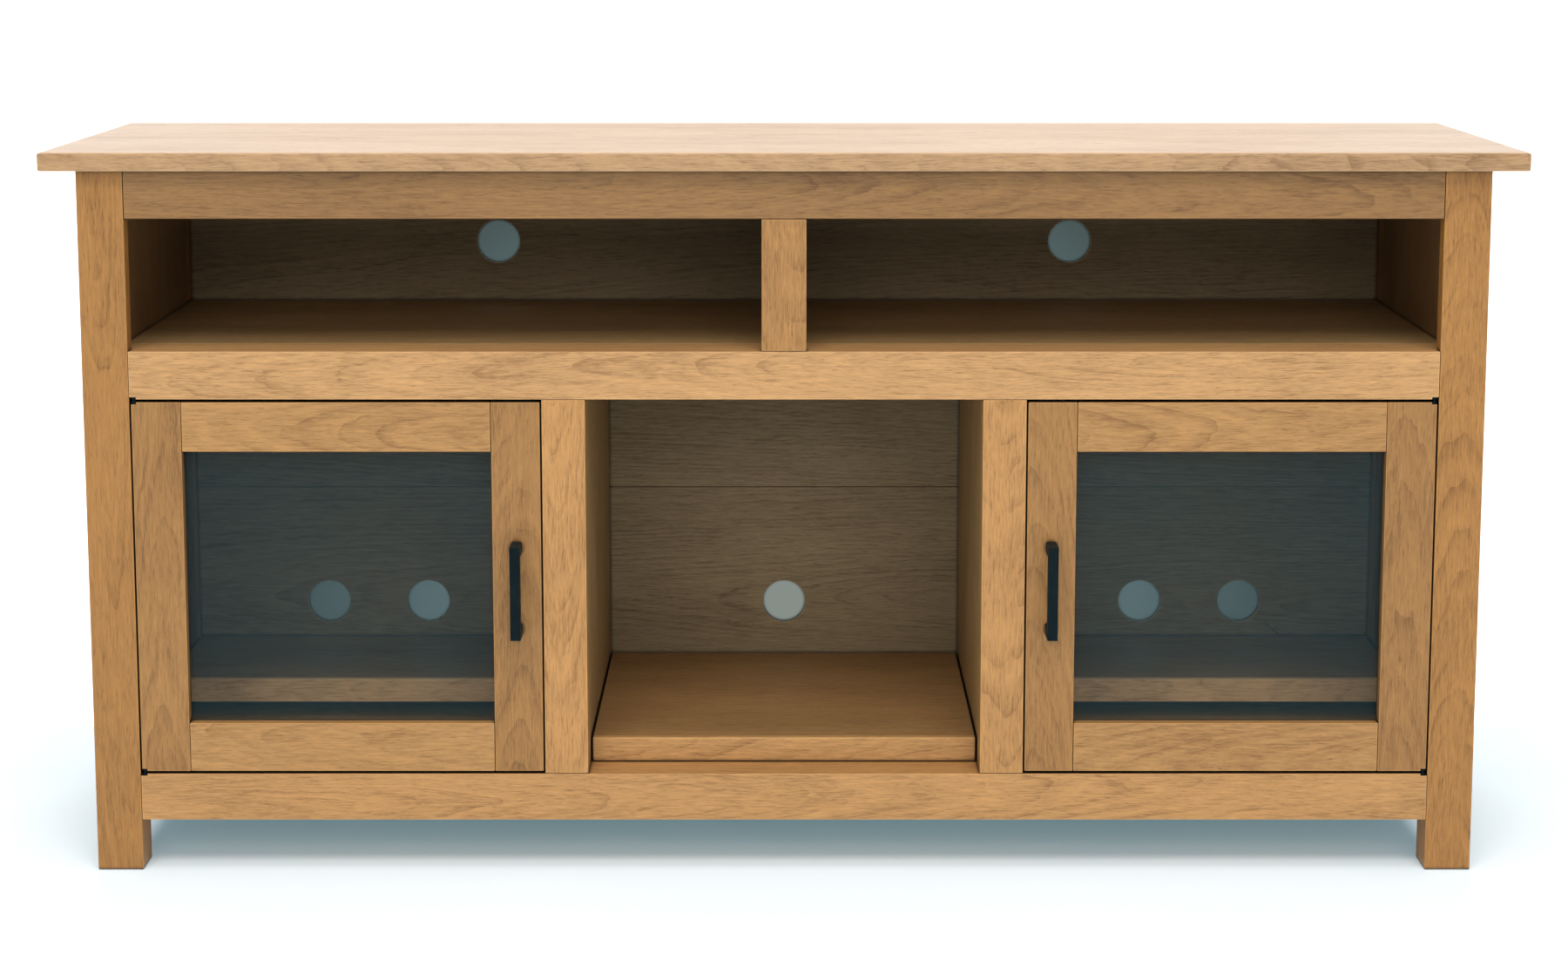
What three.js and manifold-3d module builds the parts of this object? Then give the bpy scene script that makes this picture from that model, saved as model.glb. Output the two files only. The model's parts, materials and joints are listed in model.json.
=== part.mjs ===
// A framed media cabinet: two open bays over an open centre bay with a glazed door on each side.
// Millimetres, +Z up. The cabinet stands on z = 0, its front faces -Y, and the origin is the
// middle of the floor that it covers, its handles included. Faces that meet keep a small gap.
import * as THREE from "three";
import { mergeVertices } from "three/addons/utils/BufferGeometryUtils.js";
import Module from "manifold-3d";

const manifold = await Module();
manifold.setup();

// ---------------------------------------------------------------- driving sizes

// Overall, measured on the top panel and from the floor
const WIDTH = 1524;
const DEPTH = 432;
const HEIGHT = 762;

// Top panel
const TOP_THICKNESS = 19;
const TOP_SIDE_OVERHANG = 35.5;
const TOP_FRONT_OVERHANG = 15;

// Posts, and the boards that make up the front face
const POST_WIDTH = 48;
const POST_DEPTH = 42;
const FACE_THICKNESS = 20;
const FOOT_HEIGHT = 55;
const CENTRE_STILE_WIDTH = 46;
const DIVIDER_STILE_WIDTH = 45;
const CENTRE_BAY_WIDTH = 413;

// Rails
const RAIL_DEPTH = 57;
const BOTTOM_RAIL_HEIGHT = 50;
const MIDDLE_RAIL_HEIGHT = 50;
const APRON_HEIGHT = 50;
const UPPER_OPENING_HEIGHT = 138;
const REAR_RAIL_THICKNESS = 18;

// Panels
const SIDE_THICKNESS = 16;
const SIDE_INSET = 16.5;
const PANEL_THICKNESS = 18;
const BACK_THICKNESS = 5;
const BACK_RECESS = 1;
const BACK_SEAM_HEIGHT = 332;
const REAR_REBATE_DEPTH = 12;
const BACK_LAP = 10;

// Joints between boards
const GAP = 0.3;
const TENON_THICKNESS = 8;
const TENON_LENGTH = 30;
const TENON_SHOULDER = 8;
const STUB_TENON_LENGTH = 15;
const DADO_DEPTH = 5;

// Cable holes in the back
const CABLE_HOLE = 50;
const UPPER_HOLE_X = 333.5;
const UPPER_HOLE_HEIGHT = 624;
const LOWER_HOLE_HEIGHT = 194;
const DOOR_BAY_HOLES_X = [422.4, 540];

// Loose shelves and their pins
const SHELF_THICKNESS = 26;
const SHELF_SIDE_GAP = 1.8;
const CENTRE_SHELF_SETBACK = 45;
const SIDE_SHELF_DEPTH = 200;
const SIDE_SHELF_TOP = 152;
const PIN_DIAMETER = 5;
const PIN_COLLAR_DIAMETER = 9;
const PIN_COLLAR_LENGTH = 1.5;
const PIN_IN_WALL = 8;
const PIN_UNDER_SHELF = 10;
const PIN_END_INSET = 32;

// Doors
const DOOR_SIDE_GAP = 1.8;
const DOOR_END_GAP = 3;
const DOOR_STILE_WIDTH = 51;
const DOOR_RAIL_WIDTH = 52;
const DOOR_TENON_LENGTH = 28;
const DOOR_TENON_TO_REBATE = 2;
const GLASS_SETBACK = 12;
const GLASS_THICKNESS = 4;
const GLASS_LAP = 8;
const RETAINER_THICKNESS = 3;
const RETAINER_WIDTH = 7;

// Bar pulls
const PULL_LENGTH = 99;
const PULL_WIDTH = 10.7;
const PULL_PROJECTION = 29;
const PULL_BAR_THICKNESS = 9;
const PULL_LEG_HEIGHT = 12;
const PULL_SCREW = 4.5;
const PULL_SCREW_DEPTH = 12;

// Pivot hinges, let into the door's ends and the rails
const PIVOT_EDGE = 2.5;
const PIVOT_SETBACK = 3;
const PIVOT_DIAMETER = 3;
const PIVOT_CLEARANCE = 0.3;
const LEAF_LENGTH = 34;
const LEAF_WIDTH = 10;
const LEAF_THICKNESS = 2;
const LEAF_SCREW = 4;
const LEAF_SCREWS_FROM_PIVOT = [12, 25];

// Magnetic catches
const CATCH_LENGTH = 40;
const CATCH_HEIGHT = 13;
const CATCH_DEPTH = 24;
const CATCH_SLOT_LENGTH = 28;
const CATCH_SLOT_HEIGHT = 4;
const CATCH_SLOT_DEPTH = 2;
const STRIKE_LENGTH = 28;
const STRIKE_HEIGHT = 11;
const STRIKE_THICKNESS = 1.5;

// Facets round a full circle
const ROUND_SEGMENTS = 24;
const HOLE_SEGMENTS = 48;

// A cut runs past the face that it opens by OVERSHOOT. A cutter that goes right through a board
// is THROUGH times as long as the board is thick. Vertices nearer than MERGE_DISTANCE are one.
const OVERSHOOT = 1;
const THROUGH = 4;
const MERGE_DISTANCE = 1e-4;

// ---------------------------------------------------------------- derived places

// Across, from the middle outwards
const frameHalf = WIDTH / 2 - TOP_SIDE_OVERHANG;
const postInner = frameHalf - POST_WIDTH;
const sideOuter = frameHalf - SIDE_INSET;
const sideInner = sideOuter - SIDE_THICKNESS;
const centreBayHalf = CENTRE_BAY_WIDTH / 2;
const dividerOuter = centreBayHalf + PANEL_THICKNESS;
const stileOuter = centreBayHalf + DIVIDER_STILE_WIDTH;

// Front to back, from the frame's front face
const frameDepth = DEPTH - TOP_FRONT_OVERHANG;
const backRear = frameDepth - BACK_RECESS;
const backFront = backRear - BACK_THICKNESS;
const panelRear = backFront - GAP;
const rearPostFront = frameDepth - POST_DEPTH;
const sideRear = rearPostFront + REAR_REBATE_DEPTH;
const rearRailFront = panelRear - REAR_RAIL_THICKNESS;
const panelFront = FACE_THICKNESS + GAP;
const behindRail = RAIL_DEPTH + GAP;

// Upwards
const frameTop = HEIGHT - TOP_THICKNESS;
const floorTop = FOOT_HEIGHT + BOTTOM_RAIL_HEIGHT;
const apronBottom = frameTop - APRON_HEIGHT;
const upperFloor = apronBottom - UPPER_OPENING_HEIGHT;
const middleRailBottom = upperFloor - MIDDLE_RAIL_HEIGHT;
const upperPanelBottom = upperFloor - PANEL_THICKNESS;
const floorPanelBottom = floorTop - PANEL_THICKNESS;

// Doors, measured on the right-hand one
const doorOuter = postInner - DOOR_SIDE_GAP;
const doorWidth = doorOuter - stileOuter - DOOR_SIDE_GAP;
const doorBottom = floorTop + DOOR_END_GAP;
const doorHeight = middleRailBottom - DOOR_END_GAP - doorBottom;
const pivotX = doorOuter - PIVOT_EDGE;
const retainerSetback = GLASS_SETBACK + GLASS_THICKNESS + 2 * GAP;

// The cabinet's own middle, front to back, from the pulls to the rear of the posts
const middleY = (frameDepth - PULL_PROJECTION) / 2;

// ---------------------------------------------------------------- materials

function finish(color, roughness, metalness = 0) {
  return new THREE.MeshStandardMaterial({ color, roughness, metalness });
}

const wood = () => finish(0xc49a66, 0.5);
const postWood = () => finish(0xb98d58, 0.5);
const backVeneer = () => finish(0x8c7650, 0.6);
const blackSteel = () => finish(0x1a2429, 0.45, 0.6);
const zinc = () => finish(0xa9adb0, 0.35, 0.9);
const plastic = () => finish(0x2b2b2b, 0.6);

function tintedGlass() {
  const glass = finish(0x3d4d57, 0.05);
  glass.transparent = true;
  glass.opacity = 0.45;
  return glass;
}

// ---------------------------------------------------------------- solids

// A closed geometry as a solid that can be joined and cut.
function solid(geometry) {
  geometry.deleteAttribute("normal");
  geometry.deleteAttribute("uv");
  const merged = mergeVertices(geometry, MERGE_DISTANCE);
  return new manifold.Manifold(
    new manifold.Mesh({
      numProp: 3,
      vertProperties: merged.attributes.position.array,
      triVerts: new Uint32Array(merged.index.array),
    }),
  );
}

// A box between two values along each axis.
function box([x0, x1], [y0, y1], [z0, z1]) {
  const geometry = new THREE.BoxGeometry(x1 - x0, y1 - y0, z1 - z0);
  geometry.translate((x0 + x1) / 2, (y0 + y1) / 2, (z0 + z1) / 2);
  return solid(geometry);
}

// An outline in X and Y, with any holes, raised from z0 to z1.
function plate(outline, [z0, z1]) {
  const options = { depth: z1 - z0, bevelEnabled: false, curveSegments: ROUND_SEGMENTS };
  return solid(new THREE.ExtrudeGeometry(outline, options).translate(0, 0, z0));
}

// An outline in Y and Z, carried across from x0 to x1.
function slab(points, [x0, x1]) {
  const outline = new THREE.Shape(points.map(([y, z]) => new THREE.Vector2(y, z)));
  const geometry = new THREE.ExtrudeGeometry(outline, { depth: x1 - x0, bevelEnabled: false });
  const yzx = new THREE.Matrix4().makeBasis(
    new THREE.Vector3(0, 1, 0),
    new THREE.Vector3(0, 0, 1),
    new THREE.Vector3(1, 0, 0),
  );
  return solid(geometry.applyMatrix4(yzx).translate(x0, 0, 0));
}

// A round bar of the given diameter, whose middle is at (x, y, z).
function rod(axis, diameter, length, [x, y, z], segments = ROUND_SEGMENTS) {
  const geometry = new THREE.CylinderGeometry(diameter / 2, diameter / 2, length, segments);
  if (axis === "x") geometry.rotateZ(Math.PI / 2);
  if (axis === "z") geometry.rotateX(Math.PI / 2);
  return solid(geometry.translate(x, y, z));
}

function cut(body, ...tools) {
  return tools.reduce((left, tool) => left.subtract(tool), body);
}

function join(body, ...others) {
  return others.reduce((whole, other) => whole.add(other), body);
}

// A named mesh of a solid.
function piece(name, body, material) {
  const { vertProperties, triVerts } = body.getMesh();
  const geometry = new THREE.BufferGeometry();
  geometry.setAttribute("position", new THREE.BufferAttribute(vertProperties, 3));
  geometry.setIndex(new THREE.BufferAttribute(triVerts, 1));
  geometry.computeVertexNormals();
  const mesh = new THREE.Mesh(geometry, material);
  mesh.name = name;
  return mesh;
}

// ---------------------------------------------------------------- joinery

// A tenon along X, centred in the thickness of the face boards, and its mortise.
function railTenon([x0, x1], [z0, z1], room = 0) {
  const middle = FACE_THICKNESS / 2;
  const half = TENON_THICKNESS / 2 + room;
  return box([x0, x1 + room], [middle - half, middle + half], [z0 - room, z1 + room]);
}

// A pair of rail tenons, right and left, which also tie a rail into the posts.
function railTenons(bottom, top) {
  const z = [bottom + TENON_SHOULDER, top - TENON_SHOULDER];
  const right = railTenon([postInner - 2 * GAP, postInner + TENON_LENGTH], z);
  return [right, right.mirror([1, 0, 0])];
}

function railMortise(bottom, top) {
  const z = [bottom + TENON_SHOULDER, top - TENON_SHOULDER];
  return railTenon([postInner - GAP, postInner + TENON_LENGTH], z, GAP);
}

// A tenon along Z at an end of a stile that spans x0 to x1, and its mortise with room round it.
function stileTenon([x0, x1], [z0, z1], room = 0) {
  const middle = FACE_THICKNESS / 2;
  const half = TENON_THICKNESS / 2 + room;
  const x = [x0 + TENON_SHOULDER - room, x1 - TENON_SHOULDER + room];
  return box(x, [middle - half, middle + half], [z0 - room, z1 + room]);
}

// A stile between two rails, with a stub tenon into each.
function stile([x0, x1], [bottom, top]) {
  const body = box([x0, x1], [0, FACE_THICKNESS], [bottom + GAP, top - GAP]);
  const reach = [bottom - STUB_TENON_LENGTH, top + STUB_TENON_LENGTH];
  return join(body, stileTenon([x0, x1], reach));
}

// Everything that a stile between these rails takes out of them.
function stileMortises([x0, x1], [bottom, top]) {
  const reach = [bottom - STUB_TENON_LENGTH, top + STUB_TENON_LENGTH];
  return stileTenon([x0, x1], reach, GAP);
}

// The bodies of the full-depth rails step outwards behind the posts' front lips.
function deepRail([bottom, top]) {
  const lip = postInner - GAP;
  const wide = sideInner - GAP;
  const front = box([-lip, lip], [0, RAIL_DEPTH], [bottom, top]);
  const rear = box([-wide, wide], [panelFront, RAIL_DEPTH], [bottom, top]);
  return join(front, rear, ...railTenons(bottom, top));
}

const centreStileX = [-CENTRE_STILE_WIDTH / 2, CENTRE_STILE_WIDTH / 2];
const centreStileZ = [upperFloor, apronBottom];
const dividerStileX = [centreBayHalf, stileOuter];
const dividerStileZ = [floorTop, middleRailBottom];

// The divider stiles' mortises, right and left.
function dividerMortises() {
  const right = stileMortises(dividerStileX, dividerStileZ);
  return [right, right.mirror([1, 0, 0])];
}

// A groove across the width's inner face of a side, for a panel that spans bottom to top.
function sideDado([bottom, top]) {
  const x = [sideInner - GAP, sideInner + DADO_DEPTH];
  return box(x, [behindRail - GAP, backFront], [bottom - GAP, top + GAP]);
}

const upperPanelZ = [upperPanelBottom, upperFloor];
const floorPanelZ = [floorPanelBottom, floorTop];

// A horizontal panel behind a full-depth rail, let into both sides.
function horizontalPanel([bottom, top]) {
  const half = sideInner + DADO_DEPTH - GAP;
  return box([-half, half], [behindRail, panelRear], [bottom, top]);
}

// A groove along Y in a horizontal panel, for an upright panel that spans x0 to x1.
function uprightDado([x0, x1], [z0, z1]) {
  return box([x0 - GAP, x1 + GAP], [behindRail - OVERSHOOT, backFront], [z0, z1]);
}

const dividerX = [centreBayHalf, dividerOuter];
const upperDividerX = [-PANEL_THICKNESS / 2, PANEL_THICKNESS / 2];

// ---------------------------------------------------------------- hinges

// The outline of a leaf: a plate behind the pivot, with a round nose that holds it.
// The pivot is at (0, 0), and the leaf runs towards -X.
function leafOutline(room = 0) {
  const right = PIVOT_EDGE + room;
  const left = PIVOT_EDGE - LEAF_LENGTH - room;
  const front = PIVOT_SETBACK - room;
  const outline = new THREE.Shape();
  outline.moveTo(left, front);
  outline.lineTo(-right, front);
  outline.lineTo(-right, 0);
  outline.absarc(0, 0, right, Math.PI, 2 * Math.PI);
  outline.lineTo(right, PIVOT_SETBACK + LEAF_WIDTH + room);
  outline.lineTo(left, PIVOT_SETBACK + LEAF_WIDTH + room);
  outline.closePath();
  return outline;
}

const leafMiddleY = PIVOT_SETBACK + LEAF_WIDTH / 2;

function leafPlate([z0, z1], pivotHole) {
  const screws = LEAF_SCREWS_FROM_PIVOT.map((x) =>
    rod("z", LEAF_SCREW, THROUGH * LEAF_THICKNESS, [-x, leafMiddleY, (z0 + z1) / 2]),
  );
  const body = cut(plate(leafOutline(), [z0, z1]), ...screws);
  if (!pivotHole) return body;
  return cut(body, rod("z", pivotHole, THROUGH * LEAF_THICKNESS, [0, 0, (z0 + z1) / 2]));
}

// The leaf that is let into a rail, with the pivot that stands out of it. Drawn for the top
// hinge: the rail's face is z = 0, and the pivot points down.
function frameLeaf() {
  const body = leafPlate([0, LEAF_THICKNESS]);
  const root = LEAF_THICKNESS / 2;
  const reach = DOOR_END_GAP + LEAF_THICKNESS;
  return join(body, rod("z", PIVOT_DIAMETER, root + reach, [0, 0, (root - reach) / 2]));
}

// The leaf that is let into the door's end, which turns on the pivot. The end is z = 0.
function doorLeaf() {
  return leafPlate([-LEAF_THICKNESS, 0], PIVOT_DIAMETER + 2 * PIVOT_CLEARANCE);
}

// The pocket for a leaf, open to the front and the side at the pivot's nose. It is drawn on
// z = 0 with its depth upwards, and runs past its own face by a little.
function leafPocket(depth) {
  const nose = PIVOT_EDGE + GAP;
  const open = PIVOT_EDGE + DOOR_SIDE_GAP;
  const z = [-OVERSHOOT, depth];
  const front = box([-nose, open], [-PIVOT_SETBACK - OVERSHOOT, PIVOT_SETBACK], z);
  const plateX = [PIVOT_EDGE - LEAF_LENGTH - GAP, open];
  const plateY = [PIVOT_SETBACK - GAP, PIVOT_SETBACK + LEAF_WIDTH + GAP];
  return join(front, box(plateX, plateY, z));
}

const leafPocketDepth = LEAF_THICKNESS + GAP;

// The pockets in the rail above and the rail below a door, on both doors.
function railPockets(face, up) {
  const pocket = up ? leafPocket(leafPocketDepth) : leafPocket(leafPocketDepth).mirror([0, 0, 1]);
  const right = pocket.translate([pivotX, PIVOT_SETBACK, face]);
  return [right, right.mirror([1, 0, 0])];
}

// ---------------------------------------------------------------- the middle pieces

function topPanel() {
  const x = [-WIDTH / 2, WIDTH / 2];
  return box(x, [-TOP_FRONT_OVERHANG, frameDepth], [frameTop, HEIGHT]);
}

function apronRail() {
  const half = postInner - GAP;
  const body = box([-half, half], [0, FACE_THICKNESS], [apronBottom, frameTop - GAP]);
  const whole = join(body, ...railTenons(apronBottom, frameTop));
  return cut(whole, stileMortises(centreStileX, centreStileZ));
}

function middleRail() {
  const body = deepRail([middleRailBottom, upperFloor]);
  const stiles = [stileMortises(centreStileX, centreStileZ), ...dividerMortises()];
  return cut(body, ...stiles, ...railPockets(middleRailBottom, true));
}

function bottomRail() {
  const body = deepRail([FOOT_HEIGHT, floorTop]);
  return cut(body, ...dividerMortises(), ...railPockets(floorTop, false));
}

function upperShelfPanel() {
  const underZ = [upperPanelBottom - OVERSHOOT, upperPanelBottom + DADO_DEPTH];
  const overZ = [upperFloor - DADO_DEPTH, upperFloor + OVERSHOOT];
  const under = uprightDado(dividerX, underZ);
  const over = uprightDado(upperDividerX, overZ);
  return cut(horizontalPanel(upperPanelZ), under, under.mirror([1, 0, 0]), over);
}

function floorPanel() {
  const over = uprightDado(dividerX, [floorTop - DADO_DEPTH, floorTop + OVERSHOOT]);
  return cut(horizontalPanel(floorPanelZ), over, over.mirror([1, 0, 0]));
}

// It stands on the upper shelf panel, and is notched under the rear top rail.
function upperDividerPanel() {
  const housed = upperFloor - DADO_DEPTH + GAP;
  const points = [
    [panelFront, upperFloor + GAP],
    [behindRail, upperFloor + GAP],
    [behindRail, housed],
    [panelRear, housed],
    [panelRear, apronBottom - GAP],
    [rearRailFront - GAP, apronBottom - GAP],
    [rearRailFront - GAP, frameTop - GAP],
    [panelFront, frameTop - GAP],
  ];
  return slab(points, upperDividerX);
}

function rearRail([bottom, top]) {
  const half = sideInner - GAP;
  return box([-half, half], [rearRailFront, panelRear], [bottom, top]);
}

function cableHole(x, z) {
  return rod("y", CABLE_HOLE, THROUGH * BACK_THICKNESS, [x, backRear, z], HOLE_SEGMENTS);
}

function backPanel([bottom, top], holesX, holeHeight) {
  const half = sideInner + BACK_LAP - GAP;
  const body = box([-half, half], [backFront, backRear], [bottom, top]);
  return cut(body, ...holesX.map((x) => cableHole(x, holeHeight)));
}

function upperBackPanel() {
  const z = [BACK_SEAM_HEIGHT + GAP / 2, frameTop - GAP];
  return backPanel(z, [-UPPER_HOLE_X, UPPER_HOLE_X], UPPER_HOLE_HEIGHT);
}

function lowerBackPanel() {
  const z = [FOOT_HEIGHT + GAP, BACK_SEAM_HEIGHT - GAP / 2];
  const holes = [0, ...DOOR_BAY_HOLES_X, ...DOOR_BAY_HOLES_X.map((x) => -x)];
  return backPanel(z, holes, LOWER_HOLE_HEIGHT);
}

function centreShelf() {
  const half = centreBayHalf - SHELF_SIDE_GAP;
  const y = [CENTRE_SHELF_SETBACK, panelRear - SHELF_SIDE_GAP];
  return box([-half, half], y, [floorTop + GAP, floorTop + GAP + SHELF_THICKNESS]);
}

const middlePieces = [
  piece("top_panel", topPanel(), wood()),
  piece("apron_rail", apronRail(), wood()),
  piece("middle_rail", middleRail(), wood()),
  piece("bottom_rail", bottomRail(), wood()),
  piece("upper_centre_stile", stile(centreStileX, centreStileZ), wood()),
  piece("upper_shelf_panel", upperShelfPanel(), wood()),
  piece("floor_panel", floorPanel(), wood()),
  piece("upper_divider_panel", upperDividerPanel(), wood()),
  piece("rear_top_rail", rearRail([apronBottom, frameTop - GAP]), wood()),
  piece("rear_bottom_rail", rearRail([FOOT_HEIGHT + GAP, floorPanelBottom - GAP]), wood()),
  piece("upper_back_panel", upperBackPanel(), backVeneer()),
  piece("lower_back_panel", lowerBackPanel(), backVeneer()),
  piece("centre_shelf", centreShelf(), wood()),
];

// ---------------------------------------------------------------- one side, drawn at the right

// The post's inner rear corner is cut away above the foot, and the side panel stands in it.
function frontPost() {
  const body = box([postInner, frameHalf], [0, POST_DEPTH], [0, frameTop - GAP]);
  const rebateX = [postInner - OVERSHOOT, sideOuter + GAP];
  const rebateY = [FACE_THICKNESS, POST_DEPTH + OVERSHOOT];
  const rebate = box(rebateX, rebateY, [FOOT_HEIGHT, frameTop]);
  return cut(
    body,
    rebate,
    railMortise(FOOT_HEIGHT, floorTop),
    railMortise(middleRailBottom, upperFloor),
    railMortise(apronBottom, frameTop),
  );
}

function rearPost() {
  const body = box([sideInner, frameHalf], [rearPostFront, frameDepth], [0, frameTop - GAP]);
  const above = [FOOT_HEIGHT, frameTop];
  const rebateX = [sideInner - OVERSHOOT, sideOuter + GAP];
  const sideRebate = box(rebateX, [rearPostFront - OVERSHOOT, sideRear + GAP], above);
  const backX = [sideInner - OVERSHOOT, sideInner + BACK_LAP];
  const backRebate = box(backX, [backFront - GAP, frameDepth + OVERSHOOT], above);
  return cut(body, sideRebate, backRebate, sideDado(upperPanelZ), sideDado(floorPanelZ));
}

const sideShelfFront = panelRear - SHELF_SIDE_GAP - SIDE_SHELF_DEPTH;
const sideShelfRear = sideShelfFront + SIDE_SHELF_DEPTH;
const pinHeight = SIDE_SHELF_TOP - SHELF_THICKNESS - GAP - PIN_DIAMETER / 2;
const pinPlaces = {
  front: sideShelfFront + PIN_END_INSET,
  rear: sideShelfRear - PIN_END_INSET,
};
const pinWalls = {
  inner: { face: dividerOuter, inward: -1 },
  outer: { face: sideInner, inward: 1 },
};

// The blind holes that one wall has for its two shelf pins.
function pinHoles({ face, inward }) {
  const diameter = PIN_DIAMETER + 2 * GAP;
  const length = 2 * (PIN_IN_WALL + GAP);
  return Object.values(pinPlaces).map((y) => {
    const middle = face + inward * (PIN_IN_WALL + GAP) - (inward * length) / 2;
    return rod("x", diameter, length, [middle, y, pinHeight]);
  });
}

function sidePanel() {
  const z = [FOOT_HEIGHT + GAP, frameTop - GAP];
  const body = box([sideInner, sideOuter], [panelFront, sideRear], z);
  return cut(body, sideDado(upperPanelZ), sideDado(floorPanelZ), ...pinHoles(pinWalls.outer));
}

// It clears both full-depth rails, and is housed in the panels behind them.
function dividerPanel() {
  const low = floorTop - DADO_DEPTH + GAP;
  const high = upperPanelBottom + DADO_DEPTH - GAP;
  const points = [
    [panelFront, floorTop + GAP],
    [behindRail + GAP, floorTop + GAP],
    [behindRail + GAP, low],
    [panelRear, low],
    [panelRear, high],
    [behindRail + GAP, high],
    [behindRail + GAP, middleRailBottom - GAP],
    [panelFront, middleRailBottom - GAP],
  ];
  return cut(slab(points, dividerX), ...pinHoles(pinWalls.inner));
}

function sideShelf() {
  const x = [dividerOuter + SHELF_SIDE_GAP, sideInner - SHELF_SIDE_GAP];
  const z = [SIDE_SHELF_TOP - SHELF_THICKNESS, SIDE_SHELF_TOP];
  return box(x, [sideShelfFront, sideShelfRear], z);
}

// A turned pin that points along +X: its shank in the wall, a collar on the face, its support.
function shelfPin() {
  const shank = PIN_DIAMETER / 2;
  const collar = PIN_COLLAR_DIAMETER / 2;
  const profile = [
    [0, -PIN_IN_WALL],
    [shank, -PIN_IN_WALL],
    [shank, GAP],
    [collar, GAP],
    [collar, GAP + PIN_COLLAR_LENGTH],
    [shank, GAP + PIN_COLLAR_LENGTH],
    [shank, PIN_UNDER_SHELF],
    [0, PIN_UNDER_SHELF],
  ];
  const points = profile.map(([radius, along]) => new THREE.Vector2(radius, along));
  const geometry = new THREE.LatheGeometry(points, ROUND_SEGMENTS);
  return solid(geometry.rotateZ(-Math.PI / 2));
}

// A block under the middle rail, with a slot in its front where the magnet's plates show.
function magneticCatch() {
  const half = CATCH_LENGTH / 2;
  const top = middleRailBottom - GAP;
  const front = FACE_THICKNESS + 2 * GAP;
  const middle = top - CATCH_HEIGHT / 2;
  const body = box([-half, half], [front, front + CATCH_DEPTH], [top - CATCH_HEIGHT, top]);
  const slotZ = [middle - CATCH_SLOT_HEIGHT / 2, middle + CATCH_SLOT_HEIGHT / 2];
  const slotX = [-CATCH_SLOT_LENGTH / 2, CATCH_SLOT_LENGTH / 2];
  return cut(body, box(slotX, [front - OVERSHOOT, front + CATCH_SLOT_DEPTH], slotZ));
}

// The middle of the door's handle stile, across
const handleX = stileOuter + DOOR_SIDE_GAP + DOOR_STILE_WIDTH / 2;
const catchMiddleZ = middleRailBottom - GAP - CATCH_HEIGHT / 2;

function frameSide(side) {
  const group = new THREE.Group();
  group.add(
    piece(`front_${side}_post`, frontPost(), postWood()),
    piece(`rear_${side}_post`, rearPost(), postWood()),
    piece(`${side}_divider_stile`, stile(dividerStileX, dividerStileZ), wood()),
    piece(`${side}_side_panel`, sidePanel(), wood()),
    piece(`${side}_divider_panel`, dividerPanel(), wood()),
    piece(`${side}_shelf`, sideShelf(), wood()),
  );
  for (const [wallName, { face, inward }] of Object.entries(pinWalls)) {
    for (const [place, y] of Object.entries(pinPlaces)) {
      const pin = piece(`${side}_shelf_pin_${wallName}_${place}`, shelfPin(), zinc());
      pin.position.set(face, y, pinHeight);
      if (inward > 0) pin.rotation.z = Math.PI;
      group.add(pin);
    }
  }
  const magnet = piece(`${side}_magnetic_catch`, magneticCatch(), plastic());
  magnet.position.x = handleX;
  const topLeaf = frameLeaf();
  const upper = piece(`${side}_top_hinge_frame_leaf`, topLeaf, blackSteel());
  upper.position.set(pivotX, PIVOT_SETBACK, middleRailBottom);
  const bottomLeaf = topLeaf.mirror([0, 0, 1]);
  const lower = piece(`${side}_bottom_hinge_frame_leaf`, bottomLeaf, blackSteel());
  lower.position.set(pivotX, PIVOT_SETBACK, floorTop);
  group.add(magnet, upper, lower);
  return group;
}

// ---------------------------------------------------------------- one door, drawn at the right

// A door's own frame: x = 0 and y = 0 on its pivots' line, z = 0 at its bottom end. The door
// runs from its outer edge towards -X.
const door = {
  outer: PIVOT_EDGE,
  inner: PIVOT_EDGE - doorWidth,
  front: -PIVOT_SETBACK,
  rear: FACE_THICKNESS - PIVOT_SETBACK,
};
const glassX = [door.inner + DOOR_STILE_WIDTH, door.outer - DOOR_STILE_WIDTH];
const glassZ = [DOOR_RAIL_WIDTH, doorHeight - DOOR_RAIL_WIDTH];

// A range that is wider by the same amount at both ends.
function widened([low, high], by) {
  return [low - by, high + by];
}

// What the glass and its retainer take out of the back of the door's frame.
function glassRebate() {
  const y = [door.front + GLASS_SETBACK, door.rear + OVERSHOOT];
  return box(widened(glassX, GLASS_LAP), y, widened(glassZ, GLASS_LAP));
}

function doorTenon([x0, x1], [z0, z1], room = 0) {
  const half = TENON_THICKNESS / 2 + room;
  const middle = door.front + GLASS_SETBACK - DOOR_TENON_TO_REBATE - TENON_THICKNESS / 2;
  return box([x0 - room, x1 + room], [middle - half, middle + half], [z0 - room, z1 + room]);
}

const doorTenonX = widened(glassX, DOOR_TENON_LENGTH);
const doorTenonZ = {
  bottom: widened([0, DOOR_RAIL_WIDTH], -TENON_SHOULDER),
  top: widened([doorHeight - DOOR_RAIL_WIDTH, doorHeight], -TENON_SHOULDER),
};

function doorMortises() {
  return Object.values(doorTenonZ).map((z) => doorTenon(doorTenonX, z, GAP));
}

function hingeStile() {
  const x = [door.outer - DOOR_STILE_WIDTH, door.outer];
  const body = box(x, [door.front, door.rear], [0, doorHeight]);
  const bottom = leafPocket(leafPocketDepth);
  const top = leafPocket(leafPocketDepth).mirror([0, 0, 1]).translate([0, 0, doorHeight]);
  return cut(body, glassRebate(), ...doorMortises(), bottom, top);
}

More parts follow.
